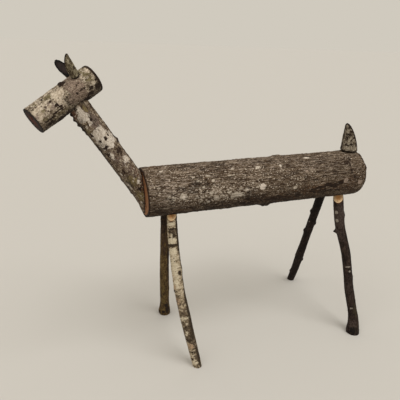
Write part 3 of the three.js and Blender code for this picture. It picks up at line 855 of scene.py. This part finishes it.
# Top and foot are in mm, the foot on the floor. A facet is (turn, mm below the top, slope in degrees).
LEGS = {}
LEGS["leg_front_left"] = {
    "top": (-120.5, -30.8, 393.9), "foot": (-75.0, -122.8), "facet": (20, 14.5, 46),
    "slot": "white_birch_bark",
    "bends": [
        (0.12, -6.4), (0.27, -11.3), (0.385, -13), (0.47, -14.4), (0.56, -12.8), (0.69, -9.8),
        (0.77, -7.6), (0.86, -4.2),
    ],
    "girths": [(0, 12.2), (0.18, 12.6), (0.45, 12.6), (0.62, 13.6), (0.8, 12.6), (0.92, 12), (1, 10.8)],
    "knots": [(0.45, 30, 1.5, 8), (0.35, -68, 1.2, 9), (0.465, 75, 1.6, 4)],
    "lichen": [
        (33, 30, 8, 26, 1), (73, 36, 12, 24, 1.1), (100, 40, 18, 24, 1), (138, 42, 84, 24, 0.72),
        (177, 37, 14, 14, 1.1), (276, 36, 11, 34, 0.72), (291, 20, 9, 18, 0.5), (314, 30, 8, 12, 0.62),
        (322, 50, 9, 12, 0.6), (384, 20, 9, 22, 0.6), (403, 30, 15, 22, 0.72), (60, 30, 10, 6, 1),
        (190, 150, 120, 30, 0.7), (330, 160, 80, 30, 0.5),
    ],
    "stain_and_shade": [
        (58, -58, 100, 13, 1.5), (45, 22, 5, 26, 1.1), (51, 57, 6, 7, 1), (60, 0, 16, 12, 0.8),
        (65, 58, 4, 8, 1.1), (85, 20, 6, 90, 1.4), (85, 150, 6, 60, 1.2), (117, 28, 3, 3, 1.1),
        (125, 25, 3, 3, 1.1), (156, -16, 12, 8, 1.2), (165, -60, 120, 5, 0.9), (201, 78, 8, 9, 1.2),
        (197, 100, 5, 10, 1.1), (230, -42, 50, 7, 1.1), (260, -38, 50, 7, 1.1), (238, 39, 4, 4, 1),
        (300, -36, 60, 9, 1.2), (303, 40, 11, 34, 0.68), (326, -20, 26, 12, 1.1),
        (337, 36, 15, 34, 0.72), (373, 14, 6, 30, 0.8), (390, -34, 60, 9, 1.2), (395, 60, 6, 8, 1),
        (230, 180, 14, 60, 0.8), (330, -150, 12, 40, 0.9), (130, -140, 6, 30, 0.9),
        (290, -90, 260, 8, 0.7),
    ],
    "dull": [
        (259, 50, 10, 26, 1), (56, 20, 22, 24, 0.9), (240, 60, 90, 30, 0.6), (310, 40, 190, 90, 0.52),
        (320, -40, 220, 60, 0.75), (295, 40, 10, 20, 0.7), (320, 40, 40, 50, 0.9),
        (392, 20, 8, 30, 0.8),
    ],
    "warm": [
        (356, 36, 16, 20, 0.8), (228, 60, 24, 18, 0.7), (165, 60, 50, 14, 0.4), (193, 70, 16, 12, 0.8),
    ],
    "shade": [(220, -62, 420, 12, 0.6), (14, 0, 10, 300, 0.3)],
}
LEGS["leg_front_right"] = {
    "top": (-122.0, 19.2, 393.9), "foot": (-89.0, 116.2), "facet": (180, 15, 44),
    "slot": "olive_bark",
    "bends": [(0.5, -2)],
    "girths": [(0, 11.5), (0.35, 11.9), (0.6, 13), (0.87, 13.2), (0.95, 17), (1, 17)],
    "knots": [
        (0.72, -112, 1.5, 9), (0.9, -20, 3, 5), (0.94, 84, 3, 6), (0.95, 20, 1.8, 5), (0.93, 180, 3, 7),
    ],
    "lichen": [(207, -30, 30, 5, 0.5)],
    "stain_and_shade": [
        (30, 20, 150, 130, 0.7), (200, -36, 130, 7, 0.8), (373, -8, 12, 12, 1.2),
        (392, -18, 24, 14, 1.2), (400, 30, 14, 12, 0.7), (405, 70, 14, 10, 0.8),
        (390, 170, 20, 40, 0.8), (140, 130, 100, 10, 0.5),
    ],
    "dull": [(110, 40, 150, 80, 0.6)],
    "warm": [(300, 60, 200, 60, 0.45)],
    "shade": [(14, 0, 16, 300, 0.5), (210, -52, 420, 8, 0.6)],
}
LEGS["leg_rear_left"] = {
    "top": (371.0, -31.8, 391.6), "foot": (407.0, -152.3), "facet": (36, 20.5, 45),
    "slot": "dark_bark",
    "bends": [
        (0.14, -5.4), (0.2, -7), (0.25, -6), (0.3, -2.6), (0.36, 1.2), (0.44, 4.8), (0.66, 1.6),
        (0.86, 6.4),
    ],
    "girths": [
        (0, 14), (0.14, 14), (0.32, 12.9), (0.56, 12.3), (0.72, 13), (0.82, 12.8), (0.9, 15.2),
        (0.97, 16), (1, 15),
    ],
    "knots": [
        (0.26, 112, 8.5, 3.6), (0.16, -68, 2.4, 6), (0.95, 100, 6, 12), (0.24, 70, 1.6, 5),
        (0.58, -60, 1.4, 5),
    ],
    "lichen": [
        (58, 66, 9, 9, 1.1), (81, 64, 9, 9, 1.1), (220, 30, 4, 14, 1.3), (234, 12, 5, 6, 1.1),
        (345, 45, 4, 8, 1.2), (150, 160, 8, 6, 1), (300, -120, 5, 12, 1),
    ],
    "stain_and_shade": [(113, 118, 16, 12, 0.9), (411, 51, 20, 30, 0.8), (200, -40, 300, 8, 0.8)],
    "dull": [
        (70, 50, 80, 50, 0.9), (120, 60, 60, 30, 0.7), (280, 50, 120, 30, 0.5), (395, 50, 40, 40, 0.6),
    ],
    "warm": [(352, 0, 70, 16, 0.7), (60, 30, 40, 20, 0.5), (405, 40, 40, 40, 0.6)],
    "shade": [(14, 0, 10, 300, 0.3), (240, 10, 300, 80, 0.25)],
}
LEGS["leg_rear_right"] = {
    "top": (357.5, 20.2, 391.5), "foot": (391.0, 155.2), "facet": (180, 17, 44),
    "slot": "dark_bark",
    "bends": [(0.5, 1.7), (0.85, 3.5)],
    "girths": [(0, 12.5), (0.3, 12), (0.52, 12), (0.68, 13.4), (0.85, 12.4), (1, 11.4)],
    "knots": [
        (0.23, 128, 3.4, 4), (0.42, 128, 3.6, 4.5), (0.33, -52, 3, 5), (0.72, -52, 3, 4),
        (0.68, 68, 2, 9), (0.88, 128, 2.6, 4),
    ],
    "lichen": [
        (137, 76, 5, 5, 1.1), (81, 110, 10, 5, 0.8), (180, -150, 5, 12, 1), (320, 150, 6, 8, 0.9),
    ],
    "stain_and_shade": [(230, 0, 400, 90, 0.3)],
    "dull": [(250, 90, 100, 20, 0.4)],
    "warm": [(150, 150, 80, 20, 0.5)],
    "shade": [(200, 0, 900, 900, 0.7), (40, 0, 160, 300, 1.0)],
}
leg_finishes = {}
leg_finishes["white_birch_bark"] = bark_finish(
    "white_birch_bark", [tone(80, 66, 47), tone(136, 120, 96), tone(180, 164, 138), tone(214, 201, 178)],
    streak=(7, 3), fleck=(2.4, 1.6), layers=[
        ("dull", tone(66, 53, 40), tone(122, 106, 86), 15, 9, 2.2),
        ("warm", tone(158, 132, 104), tone(188, 164, 136), 5, 4, 2.4),
        ("lichen", tone(188, 174, 148), tone(214, 203, 180), 7, 4, 2.0),
        ("stain_and_shade", tone(32, 24, 16), tone(76, 62, 46), 4, 2.6, 2.2),
    ], broad=0.8)
leg_finishes["olive_bark"] = bark_finish(
    "olive_bark", [tone(36, 22, 9), tone(60, 43, 20), tone(88, 69, 36), tone(120, 101, 64)],
    streak=(3, 10), fleck=(1.8, 3), layers=[
        ("warm", tone(88, 72, 34), tone(108, 90, 50), 8, 18, 1.8),
        ("dull", tone(56, 40, 27), tone(78, 60, 44), 6, 14, 2.0),
        ("stain_and_shade", tone(22, 14, 8), tone(44, 30, 19), 4, 7, 2.0),
        ("lichen", tone(112, 98, 70), tone(134, 120, 90), 3, 6, 1.8),
    ])
leg_finishes["dark_bark"] = bark_finish(
    "dark_bark", [tone(14, 7, 5), tone(27, 17, 12), tone(45, 31, 25), tone(78, 63, 53)],
    streak=(3, 8), fleck=(1.8, 2.8), layers=[
        ("warm", tone(46, 38, 25), tone(64, 54, 38), 6, 12, 1.8),
        ("dull", tone(48, 36, 33), tone(82, 69, 62), 4, 6, 2.2),
        ("stain_and_shade", tone(12, 7, 5), tone(24, 16, 12), 5, 10, 1.8),
        ("lichen", tone(120, 110, 100), tone(168, 158, 146), 3, 4, 1.3),
    ], deep=tone(10, 5, 3))
foot_wood = sawn_finish("sawn foot", tone(104, 76, 50), tone(134, 104, 72), tone(48, 36, 28), radius=12)
for name, leg in LEGS.items():
    top = mm(*leg["top"])
    foot = mm(*leg["foot"], 0)
    fall = (foot - top).normalized()
    spare = fall * LEG_SPARE / 1000
    stick = RoundWood(name, top - spare, foot + spare, counted=DEER_LEFT, bends=leg["bends"])
    stick.draw(leg["girths"], sides=12, rings=28)
    stick.swell(leg["knots"])
    stick.roughen([(LUMPS, 10, 30, 1.2), (PLATES, 4, 14, 0.5), (FURROWS, 1.8, 6, 0.3)])
    turn, drop, slope = leg["facet"]
    outward = turned(stick.first, stick.second, turn)
    top_radius = leg["girths"][0][1]
    facet_end = stick.middle((LEG_SPARE + drop) / 1000) + outward * top_radius / 1000
    facet_facing = turned(outward, -fall, slope)
    stick.saw(facet_end, facet_facing, rings=(0.8, 0.5))
    stick.saw(foot, Vector((0, 0, -1)))
    for layer in ("lichen", "stain_and_shade", "dull", "warm", "shade"):
        stick.paint(layer, leg[layer])
    fresh_wood = sawn_finish(
        f"whittled {name}", tone(236, 172, 110), tone(255, 230, 186), tone(92, 50, 22),
        radius=top_radius, bark_thick=1.5, ring=2.4, turnover=(0.1, 1.0))
    stick.dress("root", leg_finishes[leg["slot"]], fresh_wood, foot_wood)


# Floor and light: a plain pale floor, soft light from above and in front of the deer's left side,
# a weaker one from its head end, and a pale room all round.
FLOOR_SIZE = 60
bpy.ops.object.select_all(action='DESELECT')
bpy.ops.mesh.primitive_plane_add(size=FLOOR_SIZE)
floor = bpy.context.object
floor.name = "floor"
floor_paint, add, connect = start_finish("pale floor", 0.95)
soft_change = grained(add, 400, 400, detail=2)
connect("Base Color", over(add, soft_change, tone(199, 196, 191), tone(201, 198, 193)))
floor.data.materials.append(floor_paint)


def soft_light(name, place, strength, spread, colour):
    """Soft light that falls on the deer from a far place in this direction."""
    bpy.ops.object.light_add(type='SUN', location=place)
    light = bpy.context.object
    light.name = name
    light.rotation_euler = Vector(place).to_track_quat('Z', 'Y').to_euler()
    light.data.energy = strength
    light.data.angle = radians(spread)
    light.data.color = colour


soft_light("key light", (0.5, -0.9, 2.0), strength=1.25, spread=35, colour=(1, 0.988, 0.965))
soft_light("fill light", (-1.2, -0.5, 1.6), strength=0.45, spread=50, colour=(1, 0.99, 0.97))
room = bpy.data.worlds.new("pale room")
bpy.context.scene.world = room
room.use_nodes = True
walls = room.node_tree.nodes["Background"]
walls.inputs["Color"].default_value = tone(208, 202, 190)
walls.inputs["Strength"].default_value = 1.0
bpy.context.scene.view_settings.view_transform = 'Standard'
